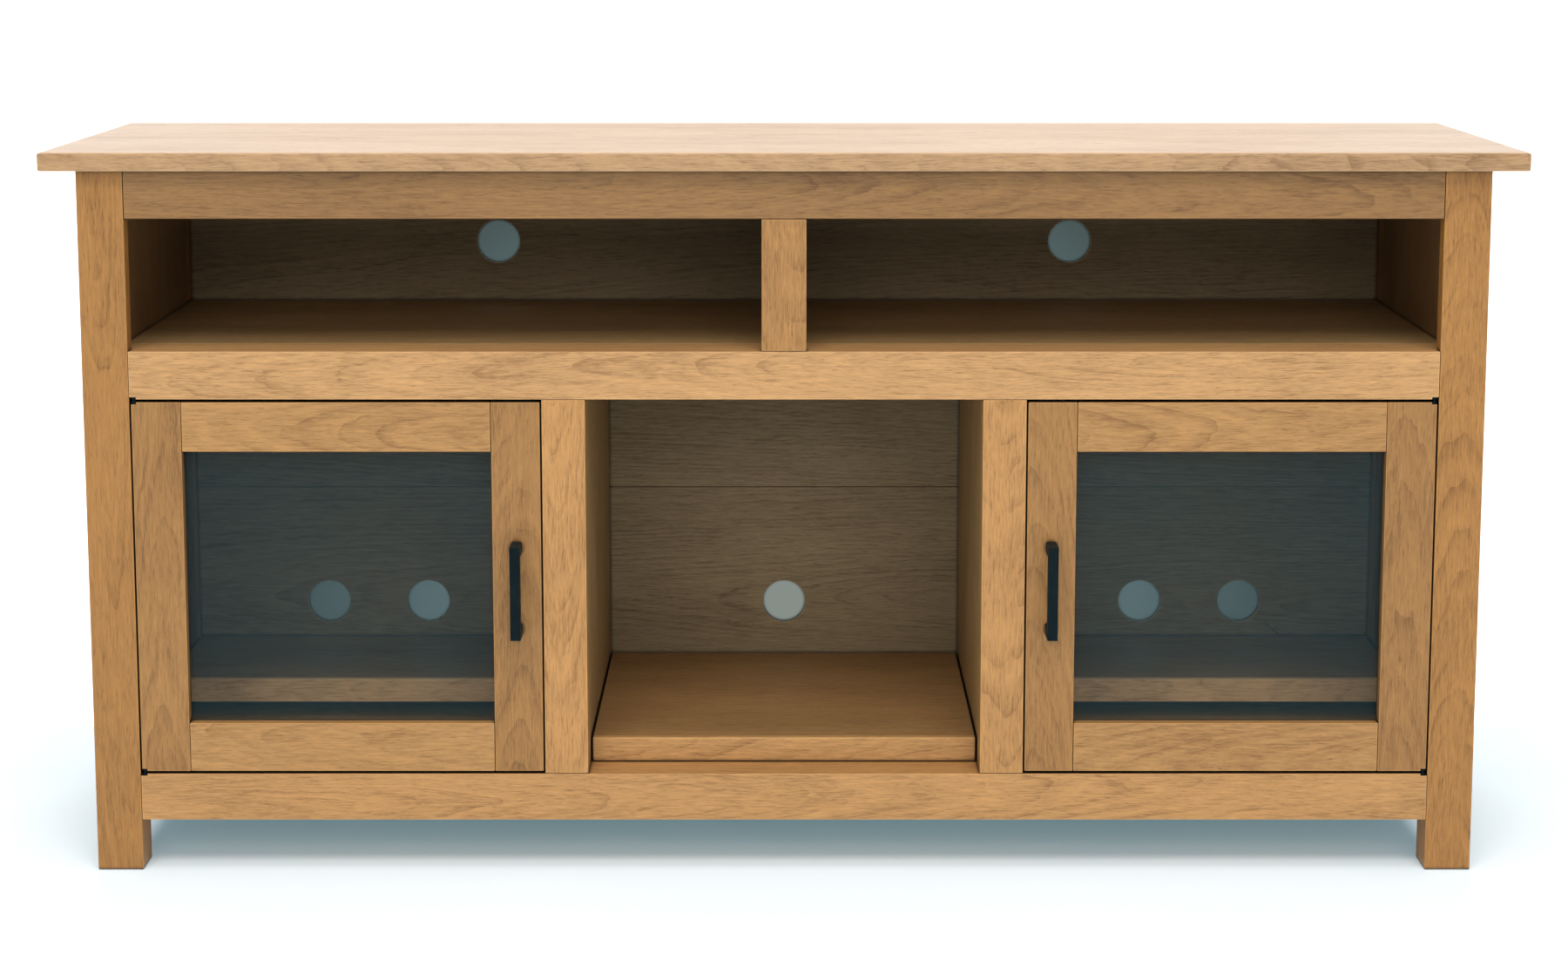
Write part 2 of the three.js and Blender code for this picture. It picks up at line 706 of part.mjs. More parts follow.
const pullHeight = doorHeight / 2;
const pullScrewHeights = [-1, 1].map(
  (end) => pullHeight + (end * (PULL_LENGTH - PULL_LEG_HEIGHT)) / 2,
);
const pullX = door.inner + DOOR_STILE_WIDTH / 2;
const strikeZ = widened([catchMiddleZ - doorBottom, catchMiddleZ - doorBottom], STRIKE_HEIGHT / 2);
const strikeX = widened([pullX, pullX], STRIKE_LENGTH / 2);

function handleStile() {
  const x = [door.inner, door.inner + DOOR_STILE_WIDTH];
  const body = box(x, [door.front, door.rear], [0, doorHeight]);
  const screwHoles = pullScrewHeights.map((z) =>
    rod("y", PULL_SCREW, THROUGH * FACE_THICKNESS, [pullX, 0, z]),
  );
  const strikeY = [door.rear - STRIKE_THICKNESS - GAP, door.rear + OVERSHOOT];
  const strikePocket = box(widened(strikeX, GAP), strikeY, widened(strikeZ, GAP));
  return cut(body, glassRebate(), ...doorMortises(), ...screwHoles, strikePocket);
}

function doorRail([z0, z1], tenonZ) {
  const body = box(widened(glassX, -GAP), [door.front, door.rear], [z0, z1]);
  return join(cut(body, glassRebate()), doorTenon(doorTenonX, tenonZ));
}

function glassPane() {
  const y = [door.front + GLASS_SETBACK + GAP, door.front + GLASS_SETBACK + GAP + GLASS_THICKNESS];
  const by = GLASS_LAP - GAP;
  return box(widened(glassX, by), y, widened(glassZ, by));
}

function glassRetainer() {
  const front = door.front + retainerSetback;
  const y = [front, front + RETAINER_THICKNESS];
  const outerBy = GLASS_LAP - GAP;
  const innerBy = outerBy - RETAINER_WIDTH;
  const whole = box(widened(glassX, outerBy), y, widened(glassZ, outerBy));
  const opening = box(widened(glassX, innerBy), widened(y, OVERSHOOT), widened(glassZ, innerBy));
  return cut(whole, opening);
}

// A square-edged bar on two legs, with a blind screw hole in each leg.
function barPull() {
  const rear = door.front - GAP;
  const front = door.front - PULL_PROJECTION;
  const ends = widened([pullHeight, pullHeight], PULL_LENGTH / 2);
  const x = widened([pullX, pullX], PULL_WIDTH / 2);
  const whole = box(x, [front, rear], ends);
  const gapY = [front + PULL_BAR_THICKNESS, rear + OVERSHOOT];
  const gap = box(widened(x, OVERSHOOT), gapY, widened(ends, -PULL_LEG_HEIGHT));
  const screwHoles = pullScrewHeights.map((z) =>
    rod("y", PULL_SCREW, 2 * PULL_SCREW_DEPTH, [pullX, rear, z]),
  );
  return cut(whole, gap, ...screwHoles);
}

function strikePlate() {
  return box(strikeX, [door.rear - STRIKE_THICKNESS, door.rear], strikeZ);
}

function doorSide(side) {
  const group = new THREE.Group();
  group.position.set(pivotX, PIVOT_SETBACK, doorBottom);
  const bottomRailZ = [0, DOOR_RAIL_WIDTH];
  const topRailZ = [doorHeight - DOOR_RAIL_WIDTH, doorHeight];
  const lower = piece(`${side}_bottom_hinge_door_leaf`, doorLeaf().mirror([0, 0, 1]), blackSteel());
  const upper = piece(`${side}_top_hinge_door_leaf`, doorLeaf(), blackSteel());
  upper.position.z = doorHeight;
  group.add(
    piece(`${side}_door_hinge_stile`, hingeStile(), postWood()),
    piece(`${side}_door_handle_stile`, handleStile(), postWood()),
    piece(`${side}_door_top_rail`, doorRail(topRailZ, doorTenonZ.top), wood()),
    piece(`${side}_door_bottom_rail`, doorRail(bottomRailZ, doorTenonZ.bottom), wood()),
    piece(`${side}_door_glass`, glassPane(), tintedGlass()),
    piece(`${side}_door_glass_retainer`, glassRetainer(), wood()),
    piece(`${side}_door_handle`, barPull(), blackSteel()),
    piece(`${side}_door_strike_plate`, strikePlate(), zinc()),
    lower,
    upper,
  );
  return group;
}

// ---------------------------------------------------------------- the whole cabinet

const cabinet = new THREE.Group();
cabinet.name = "media_cabinet";
cabinet.position.y = -middleY;
cabinet.add(...middlePieces);
for (const side of ["left", "right"]) {
  const half = new THREE.Group();
  half.add(frameSide(side), doorSide(side));
  half.scale.x = side === "left" ? -1 : 1;
  cabinet.add(half);
}

export default cabinet;
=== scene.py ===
# A media cabinet of honey-coloured hardwood: two open bays over an open centre bay with a glazed
# door on each side. The boards, doors and hardware are the frame's own nodes. This script gives
# them eased edges and materials, and adds the screws and nails. Metres, +Z up.
import json
import math
import random

import bpy
from mathutils import Euler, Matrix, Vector


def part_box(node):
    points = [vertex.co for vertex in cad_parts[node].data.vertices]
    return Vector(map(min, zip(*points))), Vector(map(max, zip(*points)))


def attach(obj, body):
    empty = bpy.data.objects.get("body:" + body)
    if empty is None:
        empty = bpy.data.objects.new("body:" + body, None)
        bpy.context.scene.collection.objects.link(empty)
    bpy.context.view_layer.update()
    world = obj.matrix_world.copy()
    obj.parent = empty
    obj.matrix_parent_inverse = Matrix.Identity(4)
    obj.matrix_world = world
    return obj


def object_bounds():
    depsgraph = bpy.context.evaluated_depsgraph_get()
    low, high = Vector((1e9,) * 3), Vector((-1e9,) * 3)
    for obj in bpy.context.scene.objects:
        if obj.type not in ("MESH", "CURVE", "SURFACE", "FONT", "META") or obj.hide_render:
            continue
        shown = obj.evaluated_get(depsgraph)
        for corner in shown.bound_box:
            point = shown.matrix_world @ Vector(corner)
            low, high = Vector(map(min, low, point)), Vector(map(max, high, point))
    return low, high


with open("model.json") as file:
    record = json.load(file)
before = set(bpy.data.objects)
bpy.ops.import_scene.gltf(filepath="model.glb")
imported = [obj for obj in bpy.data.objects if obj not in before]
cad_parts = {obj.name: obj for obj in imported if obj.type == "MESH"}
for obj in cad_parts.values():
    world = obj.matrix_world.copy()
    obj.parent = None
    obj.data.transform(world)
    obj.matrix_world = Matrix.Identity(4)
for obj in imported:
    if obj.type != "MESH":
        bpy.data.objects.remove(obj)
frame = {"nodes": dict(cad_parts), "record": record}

CAD_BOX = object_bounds()
MM = 0.001
WHITE = (1.0, 1.0, 1.0)

# ---------------------------------------------------------------- camera

CAMERA_AT = Vector((0.0, -3.205, 1.0055))
CAMERA_PITCH = math.radians(8.09)
CAMERA_LENS = 67.64
CAMERA_SENSOR = 36.0
CAMERA_SHIFT = -0.10


def make_camera():
    camera = bpy.data.objects.new("camera", bpy.data.cameras.new("camera"))
    camera.data.lens = CAMERA_LENS
    camera.data.sensor_width = CAMERA_SENSOR
    camera.data.shift_y = CAMERA_SHIFT
    camera.location = CAMERA_AT
    camera.rotation_euler = (math.pi / 2 - CAMERA_PITCH, 0.0, 0.0)
    bpy.context.scene.collection.objects.link(camera)
    bpy.context.scene.camera = camera


# ---------------------------------------------------------------- node trees

# Where most of a noise's values lie
NOISE_RANGE = (0.3, 0.7)

# Between these two, the dot product of the rounded and the true normal tells edges from faces
FACE_DOT = 1.0
EDGE_DOT = 0.90

# The open share of the sky over a point deep in a gap, and over a point clear of it
GAP_SKY = 0.42
CLEAR_SKY = 0.86


class Graph:
    """Adds nodes to a tree. Each input is a socket to link or a plain value."""

    def __init__(self, tree):
        self.tree = tree
        tree.nodes.clear()

    def node(self, kind, inputs, **settings):
        made = self.tree.nodes.new(kind)
        for name, value in settings.items():
            setattr(made, name, value)
        for name, value in inputs.items():
            if isinstance(value, bpy.types.NodeSocket):
                self.tree.links.new(value, made.inputs[name])
            else:
                made.inputs[name].default_value = value
        return made

    def math(self, operation, a, b=0.0):
        return self.node("ShaderNodeMath", {0: a, 1: b}, operation=operation).outputs[0]

    def scaled(self, vector, factors):
        inputs = {0: vector, 1: factors}
        return self.node("ShaderNodeVectorMath", inputs, operation="MULTIPLY").outputs[0]

    def added(self, vector, other):
        inputs = {0: vector, 1: other}
        return self.node("ShaderNodeVectorMath", inputs, operation="ADD").outputs[0]

    def noise(self, vector, detail=2.0, roughness=0.5, output="Fac"):
        inputs = {"Vector": vector, "Scale": 1.0, "Detail": detail, "Roughness": roughness}
        return self.node("ShaderNodeTexNoise", inputs).outputs[output]

    def spread(self, value, low, high, to_low=0.0, to_high=1.0):
        inputs = {0: value, 1: low, 2: high, 3: to_low, 4: to_high}
        return self.node("ShaderNodeMapRange", inputs).outputs[0]

    def mixed(self, factor, a, b):
        inputs = {0: factor, 6: a, 7: b}
        return self.node("ShaderNodeMix", inputs, data_type="RGBA").outputs[2]

    def ramp(self, factor, stops):
        made = self.node("ShaderNodeValToRGB", {0: factor})
        elements = made.color_ramp.elements
        while len(elements) < len(stops):
            elements.new(0.5)
        for element, (at, colour) in zip(elements, stops):
            element.position = at
            element.color = (*colour, 1.0)
        return made.outputs[0]

    def bump(self, height, distance, strength):
        inputs = {"Height": height, "Distance": distance, "Strength": strength}
        return self.node("ShaderNodeBump", inputs).outputs[0]

    def layer(self, vector, rates, detail, roughness, low, high):
        """Noise with these rates along the axes, spread out from low to high."""
        return self.spread(self.noise(self.scaled(vector, rates), detail, roughness), low, high)

    def weighed(self, shares):
        """The sum of the values of the (value, share) pairs, each times its share."""
        total = 0.0
        for value, share in shares:
            total = self.math("ADD", self.math("MULTIPLY", value, share), total)
        return total

    def stain_light_and_shade(self, colour, share, stain):
        """The colour, gone over to a plain colour by the share: real stains and wear, and painted
        highlight and shade.
        """
        return self.mixed(share, colour, (*stain, 1.0))

    def wander(self, vector, rates, reach):
        """A shift across the grain, up to about half of reach either way."""
        drift = self.noise(self.scaled(vector, rates), output="Color")
        return self.scaled(self.added(drift, (-0.5, -0.5, -0.5)), (0.0, reach, reach))

    def edges(self, radius):
        """1 on edges and 0 on faces, from how far a rounded normal leans from the true one."""
        rounded = self.node("ShaderNodeBevel", {"Radius": radius}, samples=4).outputs[0]
        true = self.node("ShaderNodeNewGeometry", {}).outputs["Normal"]
        inputs = {0: rounded, 1: true}
        dot = self.node("ShaderNodeVectorMath", inputs, operation="DOT_PRODUCT")
        return self.spread(dot.outputs["Value"], FACE_DOT, EDGE_DOT)

    def painted_gap_shade(self, reach):
        """How far a point lies in a narrow gap or joint, where the wood gets painted shade."""
        inputs = {"Distance": reach}
        open_share = self.node("ShaderNodeAmbientOcclusion", inputs, samples=8).outputs["AO"]
        return self.spread(open_share, GAP_SKY, CLEAR_SKY, 1.0, 0.0)

    def surface(self, inputs):
        shader = self.node("ShaderNodeBsdfPrincipled", inputs)
        self.node("ShaderNodeOutputMaterial", {"Surface": shader.outputs[0]})


def new_material(name):
    material = bpy.data.materials.new(name)
    material.use_nodes = True
    return material, Graph(material.node_tree)


# ---------------------------------------------------------------- wood

# The turn that lays a board's grain along X, for each axis that the grain runs along
GRAIN_TURN = {"x": (0.0, 0.0, 0.0), "z": (0.0, math.pi / 2, 0.0)}

TOP = (0.412, 0.240, 0.116)
HONEY = (0.490, 0.262, 0.101)
BASE_RAIL = (0.448, 0.226, 0.076)
BAY_STILE = (0.452, 0.222, 0.070)
POST = (0.356, 0.161, 0.039)
CENTRE_STILE = (0.356, 0.171, 0.050)
DOOR_STILE = (0.326, 0.156, 0.044)
DOOR_RAIL = (0.390, 0.197, 0.063)
# The apron's colour is darkened by a painted shadow under the top's overhang
APRON_SHADED = (0.266, 0.131, 0.041)
SHELF = (0.460, 0.246, 0.088)
LIPPED = (0.700, 0.430, 0.190)
# Inner and back boards: a darker veneer, and painted shade of the cabinet's inside
INSIDE_SHADED = (0.345, 0.210, 0.082)
BACK_SHADED = (0.262, 0.190, 0.098)

# How far apart in the wood the boards may lie, so that no two are alike
LOG_REACH = 9.0

# How much darker or lighter a whole board may be
BOARD_LIGHTNESS = (0.96, 1.04)

# Rates below are per metre: along the grain, and twice across it

# Each wave in the grain: its rates, and how far it reaches across the grain
WAVES = (
    ((1.6, 7.0, 7.0), 24 * MM),
    ((11.0, 34.0, 34.0), 5.5 * MM),
    ((55.0, 120.0, 120.0), 1.2 * MM),
)

# How the pith lies to a board: the coordinate's number, its least and greatest distance from the
# board's middle, and the least and greatest slant of the board to it
PITH = ((1, 0.045, 0.080, 0.045, 0.095), (2, 0.0, 0.020, 0.010, 0.030))

# Growth rings: soft bands, and sharp late wood once a year, per metre out from the pith
BAND_RATE = 260.0
BAND_RANGE = (0.34, 0.66)
YEAR_RATE = 235.0
LATE_SHARPNESS = 4.5

# Pin knots: cells with one spot each, of which few are knots. The rest is in shares of a cell.
KNOT_RATES = (3.1, 11.0, 11.0)
KNOT_CHANCE = 0.78
KNOT_RIM = (0.012, 0.030)
SWIRL_REACH = 0.30
SWIRL_DEPTH = 8 * MM

# Noise in the wood: its rates, detail, roughness, and the range that is spread out
BREAKS = ((7.0, 40.0, 40.0), 2.0, 0.5, 0.38, 0.60)
FIBRES = ((30.0, 520.0, 520.0), 4.0, 0.68, 0.34, 0.66)
THREADS = ((60.0, 1100.0, 1100.0), 2.0, 0.6, 0.33, 0.67)
FLECKS = ((90.0, 1300.0, 1300.0), 1.0, 0.5, 0.60, 0.72)
CLOUDS = ((4.5, 14.0, 14.0), 3.0, 0.55, 0.30, 0.70)

# How much rings, late wood and noise lighten the wood, or darken it where below zero
RING_TONE = 0.13
FIBRE_TONE = 0.32
THREAD_TONE = 0.26
CLOUD_TONE = 0.20
LATE_TONE = -0.26
FLECK_TONE = -0.24
TONE_RANGE = (0.08, 0.74)

# The darkest and the lightest wood, knots, the painted edge highlight and the painted shade in gaps, as
# shares of a board's colour, how far knots and the edge highlight cover the wood, and how wide the edge
# highlight and shaded gaps are
DARK_SHARE = (0.62, 0.56, 0.50)
LIGHT_SHARE = 1.28
KNOT_SHARE = 0.25
EDGE_HIGHLIGHT_SHARE = 1.7
GAP_SHADE_SHARE = 0.07
KNOT_COVER = 0.8
EDGE_HIGHLIGHT_COVER = 0.7
EDGE_HIGHLIGHT_WIDTH = 1.6 * MM
GAP_SHADE_REACH = 6 * MM

# Roughness follows the sum of fibres and clouds over this range, from matt to smooth
SHEEN_RANGE = (0.2, 1.8)

# The relief of the surface: threads stand up, and flecks are pores
THREAD_HEIGHT = 0.6
PORE_DEPTH = 0.10 * MM
PORE_STRENGTH = 0.5


def tinted(colour, factor):
    return tuple(min(channel * factor, 1.0) for channel in colour)


def lay_grain(g, place, axis, offset):
    """The place in a board with its grain along X, and the same place bent by waves."""
    turned = {"Vector": place, "Rotation": GRAIN_TURN[axis], "Location": offset}
    along = g.node("ShaderNodeMapping", turned).outputs[0]
    bent = along
    for rates, reach in WAVES:
        bent = g.added(bent, g.wander(along, rates, reach))
    return along, bent


def pin_knots(g, along):
    """Rare small spots, and the swirl of the grain round each."""
    spots = {"Vector": g.scaled(along, KNOT_RATES), "Scale": 1.0, "Randomness": 1.0}
    cells = g.node("ShaderNodeTexVoronoi", spots)
    chance = g.node("ShaderNodeSeparateColor", {0: cells.outputs["Color"]}).outputs[0]
    rare = g.math("GREATER_THAN", chance, KNOT_CHANCE)
    away = cells.outputs["Distance"]
    near = g.spread(away, 0.0, SWIRL_REACH, 1.0, 0.0)
    swirl = g.math("MULTIPLY", g.math("MULTIPLY", near, near), rare)
    knot = g.math("MULTIPLY", g.spread(away, *KNOT_RIM, 1.0, 0.0), rare)
    return knot, swirl


def from_pith(g, bent, heart, draw):
    """Distance from the pith, which lies behind or before the board, and askew to it."""
    parts = g.node("ShaderNodeSeparateXYZ", {0: bent})
    run = g.math("SUBTRACT", parts.outputs[0], heart[0])
    squares = []
    for k, near_pith, far_pith, least_slant, most_slant in PITH:
        askew = draw.uniform(least_slant, most_slant) * draw.choice((-1, 1))
        pith = draw.uniform(near_pith, far_pith) * draw.choice((-1, 1)) - heart[k]
        lean = g.math("MULTIPLY", run, askew)
        leg = g.math("ADD", g.math("ADD", parts.outputs[k], pith), lean)
        squares.append(g.math("MULTIPLY", leg, leg))
    return g.math("SQRT", g.math("ADD", *squares))


def growth(g, along, radius):
    """The soft bands of the growth rings, and their sharp late wood, which is broken here and there."""
    bands = {"W": g.math("MULTIPLY", radius, BAND_RATE), "Scale": 1.0, "Detail": 3.0, "Roughness": 0.65}
    rings = g.node("ShaderNodeTexNoise", bands, noise_dimensions="1D").outputs["Fac"]
    year = g.math("FRACT", g.math("MULTIPLY", radius, YEAR_RATE))
    late = g.math("MULTIPLY", g.math("POWER", year, LATE_SHARPNESS), g.layer(along, *BREAKS))
    return g.spread(rings, *BAND_RANGE), late


def stained_wood(g, tone, colour, board):
    """The board's colours from dark to light. board is its own share of the colour's lightness."""
    dark = tuple(channel * share for channel, share in zip(colour, DARK_SHARE))
    light = tinted(colour, LIGHT_SHARE * board)
    return g.ramp(tone, [(0.0, tinted(dark, board)), (0.5, tinted(colour, board)), (1.0, light)])


def wood_material(name, look, middle, draw, veneer_and_shade, sheen):
    """One board's own wood: growth rings round a tilted pith, fibres, flecks and pin knots.

    look is (colour, grain axis, strength of figure), and middle is the board's centre. veneer_and_shade
    is None or (axis number, start, end, factor): from start to end along that axis, the board goes
    over from solid wood to a part darker by the factor, partly darker veneer and partly painted
    shade. sheen is the range of its roughness, smooth to matt."""
    material, g = new_material(name)
    colour, axis, figure = look
    place = g.node("ShaderNodeTexCoord", {}).outputs["Object"]
    offset = [draw.uniform(-LOG_REACH, LOG_REACH) for _ in range(3)]
    heart = Euler(GRAIN_TURN[axis]).to_matrix() @ middle + Vector(offset)
    along, bent = lay_grain(g, place, axis, offset)
    knot, swirl = pin_knots(g, along)
    radius = g.math("ADD", from_pith(g, bent, heart, draw), g.math("MULTIPLY", swirl, SWIRL_DEPTH))
    rings, late = growth(g, along, radius)
    fibres, threads, flecks = g.layer(bent, *FIBRES), g.layer(bent, *THREADS), g.layer(bent, *FLECKS)
    clouds = g.layer(along, *CLOUDS)

    shares = (
        (rings, RING_TONE * figure),
        (fibres, FIBRE_TONE),
        (threads, THREAD_TONE),
        (clouds, CLOUD_TONE),
        (late, LATE_TONE * figure),
        (flecks, FLECK_TONE),
    )
    tone = g.spread(g.weighed(shares), *TONE_RANGE)
    tinge = stained_wood(g, tone, colour, draw.uniform(*BOARD_LIGHTNESS))
    tinge = g.stain_light_and_shade(tinge, g.math("MULTIPLY", knot, KNOT_COVER), tinted(colour, KNOT_SHARE))

    # Painted highlight along the board's edges, and painted shade in the gaps and joints where boards
    # meet
    edge_highlight = g.math("MULTIPLY", g.edges(EDGE_HIGHLIGHT_WIDTH), EDGE_HIGHLIGHT_COVER)
    tinge = g.stain_light_and_shade(tinge, edge_highlight, tinted(colour, EDGE_HIGHLIGHT_SHARE))
    # Painted shade: darker where little of the sky is open over a point
    tinge = g.stain_light_and_shade(tinge, g.painted_gap_shade(GAP_SHADE_REACH), tinted(colour, GAP_SHADE_SHARE))
    # Past start the wood darkens: darker veneer behind a lipping, and painted shade inside the bays
    if veneer_and_shade:
        axis_number, start, end, factor = veneer_and_shade
        reach = g.node("ShaderNodeSeparateXYZ", {0: place}).outputs[axis_number]
        shaded = g.scaled(tinge, (factor, factor, factor))
        tinge = g.mixed(g.spread(reach, start, end), tinge, shaded)

    smooth, matt = sheen
    roughness = g.spread(g.math("ADD", fibres, clouds), *SHEEN_RANGE, matt, smooth)
    grain = g.math("SUBTRACT", g.math("MULTIPLY", threads, THREAD_HEIGHT), flecks)
    normal = g.bump(grain, PORE_DEPTH, PORE_STRENGTH)
    g.surface({"Base Color": tinge, "Roughness": roughness, "IOR": 1.45, "Normal": normal})
    return material


# ---------------------------------------------------------------- glass, metal and plastic

GLASS_DARK = (0.018, 0.058, 0.070)
GLASS_LIGHT = (0.022, 0.068, 0.082)
GLASS_COVER = 0.165
GLASS_ROUGHNESS = (0.03, 0.07)
HAZE_RATE = 9.0
BROAD_RATE = 60.0
ROUGHNESS_SPREAD = 0.07
SPECKLE_DEPTH = 0.05 * MM
SPECKLE_STRENGTH = 0.6
WORN_EDGE = 0.5 * MM
WORN_COVER = 0.25
WORN_SHARE = 3.0


def glass_material():
    material, g = new_material("tinted_glass")
    place = g.node("ShaderNodeTexCoord", {}).outputs["Object"]
    haze = g.noise(g.scaled(place, (HAZE_RATE, HAZE_RATE, HAZE_RATE)))
    tint = g.ramp(haze, [(0.3, GLASS_DARK), (0.7, GLASS_LIGHT)])
    g.surface(
        {
            "Base Color": tint,
            "Roughness": g.spread(haze, *NOISE_RANGE, *GLASS_ROUGHNESS),
            "IOR": 1.5,
            "Specular IOR Level": 0.3,
            "Alpha": GLASS_COVER,
        }
    )
    return material


def metal_material(name, dark, light, metallic, roughness, speckle, gloss):
    """A coated or plated metal or a plastic: speckled, with edges where the coat is worn thin.

    speckle is the rate of the speckle per metre."""
    material, g = new_material(name)
    place = g.node("ShaderNodeTexCoord", {}).outputs["Object"]
    fine = g.noise(g.scaled(place, (speckle, speckle, speckle)), 3.0, 0.6)
    broad = g.noise(g.scaled(place, (BROAD_RATE, BROAD_RATE, BROAD_RATE)))
    tinge = g.ramp(g.spread(broad, *NOISE_RANGE), [(0.0, dark), (1.0, light)])
    worn = g.math("MULTIPLY", g.edges(WORN_EDGE), WORN_COVER)
    tinge = g.stain_light_and_shade(tinge, worn, tinted(light, WORN_SHARE))
    smooth, matt = roughness - ROUGHNESS_SPREAD, roughness + ROUGHNESS_SPREAD
    g.surface(
        {
            "Base Color": tinge,
            "Metallic": metallic,
            "Specular IOR Level": gloss,
            "Roughness": g.spread(fine, *NOISE_RANGE, smooth, matt),
            "Normal": g.bump(fine, SPECKLE_DEPTH, SPECKLE_STRENGTH),
        }
    )
    return material


def black_metal():
    dark, light = (0.0035, 0.0085, 0.0105), (0.0060, 0.0135, 0.0160)
    coat = {"metallic": 0.0, "roughness": 0.46, "speckle": 2600.0, "gloss": 0.05}
    return metal_material("black_metal", dark, light, **coat)


def zinc():
    dark, light = (0.42, 0.44, 0.46), (0.56, 0.58, 0.60)
    plating = {"metallic": 0.9, "roughness": 0.34, "speckle": 1500.0, "gloss": 0.5}
    return metal_material("zinc", dark, light, **plating)


def black_plastic():
    dark, light = (0.018, 0.018, 0.018), (0.026, 0.026, 0.026)
    skin = {"metallic": 0.0, "roughness": 0.5, "speckle": 1800.0, "gloss": 0.3}
    return metal_material("black_plastic", dark, light, **skin)


# ---------------------------------------------------------------- dressing the CAD nodes

# Colour, grain axis and strength of figure of each kind of board, by the end of its node's name
BOARDS = {
    "top_panel": (TOP, "x", 1.0),
    "apron_rail": (APRON_SHADED, "x", 0.9),
    "middle_rail": (HONEY, "x", 1.0),
    "bottom_rail": (BASE_RAIL, "x", 1.0),
    "upper_centre_stile": (CENTRE_STILE, "z", 0.9),
    "upper_shelf_panel": (INSIDE_SHADED, "x", 1.0),
    "floor_panel": (INSIDE_SHADED, "x", 1.0),
    "upper_divider_panel": (INSIDE_SHADED, "z", 1.0),
    "rear_top_rail": (INSIDE_SHADED, "x", 0.8),
    "rear_bottom_rail": (INSIDE_SHADED, "x", 0.8),
    "back_panel": (BACK_SHADED, "x", 1.1),
    "centre_shelf": (SHELF, "x", 1.1),
    "post": (POST, "z", 1.0),
    "divider_stile": (BAY_STILE, "z", 1.0),
    "side_panel": (tinted(HONEY, 0.88), "z", 1.0),
    "divider_panel": (INSIDE_SHADED, "z", 1.0),
    "left_shelf": (LIPPED, "x", 1.1),
    "right_shelf": (LIPPED, "x", 1.1),
    "door_hinge_stile": (DOOR_STILE, "z", 1.0),
    "door_handle_stile": (DOOR_STILE, "z", 1.0),
    "door_top_rail": (DOOR_RAIL, "x", 1.1),
    "door_bottom_rail": (DOOR_RAIL, "x", 1.1),
    "door_glass_retainer": (DOOR_RAIL, "z", 0.8),
}

# Shelves of veneered panel have a solid lipping this deep at the front. The veneer behind it is
# darker by the factor given, partly darker veneer and partly painted shade inside the bays; the inner
# face of a side panel is darker by painted shade.
LIPPING = 8 * MM
LIPPING_BLEND = 0.5 * MM
VENEER_AND_SHADE_FACTORS = {"centre_shelf": 0.64, "left_shelf": 0.4, "right_shelf": 0.4, "upper_shelf_panel": 0.78}
INNER_FACE_SHADE = 0.5

# Roughness of the finish, smooth to matt
POLISHED = (0.27, 0.36)
SATIN = (0.42, 0.54)
MATT = (0.56, 0.68)
MATT_BOARDS = ("back_panel", "upper_shelf_panel", "floor_panel", "centre_shelf")

BLACK_PARTS = ("door_handle", "hinge_frame_leaf", "hinge_door_leaf")
TOP_EDGE = 2.2 * MM
BOARD_EDGE = 1.1 * MM
HANDLE_EDGE = 0.8 * MM
SMALL_EDGE = 0.25 * MM
EDGE_SEGMENTS = 2
SHARP_TURN = math.radians(40)
WELD_REACH = 0.01 * MM


def ease_edges(piece, width):
    """Joins the split corners of the imported mesh, and rounds its edges."""
    weld = piece.modifiers.new("weld", "WELD")
    weld.merge_threshold = WELD_REACH
    bevel = piece.modifiers.new("bevel", "BEVEL")
    bevel.width = width
    bevel.segments = EDGE_SEGMENTS
    bevel.limit_method = "ANGLE"
    bevel.angle_limit = SHARP_TURN
    bevel.harden_normals = False


def wear(piece, material):
    piece.data.materials.clear()
    piece.data.materials.append(material)


def board_kind(name):
    found = [kind for kind in BOARDS if name.endswith(kind)]
    return max(found, key=len) if found else None


def board_sheen(kind):
    if kind == "top_panel":
        return POLISHED
    return MATT if kind in MATT_BOARDS else SATIN


def veneer_and_shade_span(name):
    """Where a board's darker veneer and painted shade start and end, as wood_material takes it."""
    low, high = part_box(name)
    if name in VENEER_AND_SHADE_FACTORS:
        start = low.y + LIPPING
        return (1, start, start + LIPPING_BLEND, VENEER_AND_SHADE_FACTORS[name])
    if name == "left_side_panel":
        return (0, high.x - 2 * MM, high.x - MM, INNER_FACE_SHADE)
    if name == "right_side_panel":
        return (0, low.x + 2 * MM, low.x + MM, INNER_FACE_SHADE)
    return None


def dress_nodes():
    black, plated, plastic, glass = black_metal(), zinc(), black_plastic(), glass_material()
    for seed, (name, node) in enumerate(sorted(frame["nodes"].items())):
        kind = board_kind(name)
        if kind:
            low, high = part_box(name)
            look, draw = BOARDS[kind], random.Random(seed)
            veneer_and_shade, sheen = veneer_and_shade_span(name), board_sheen(kind)
            middle = (low + high) / 2
            wear(node, wood_material(f"wood_{name}", look, middle, draw, veneer_and_shade, sheen))
            ease_edges(node, TOP_EDGE if kind == "top_panel" else BOARD_EDGE)
        elif name.endswith("door_glass"):
            wear(node, glass)
            ease_edges(node, SMALL_EDGE)
        elif name.endswith(BLACK_PARTS):
            wear(node, black)
            ease_edges(node, HANDLE_EDGE if name.endswith("handle") else SMALL_EDGE)
        elif name.endswith("magnetic_catch"):
            wear(node, plastic)
            ease_edges(node, 2 * SMALL_EDGE)
        else:
            wear(node, plated)
            ease_edges(node, SMALL_EDGE)


# ---------------------------------------------------------------- screws and nails

HEAD_SEGMENTS = 32

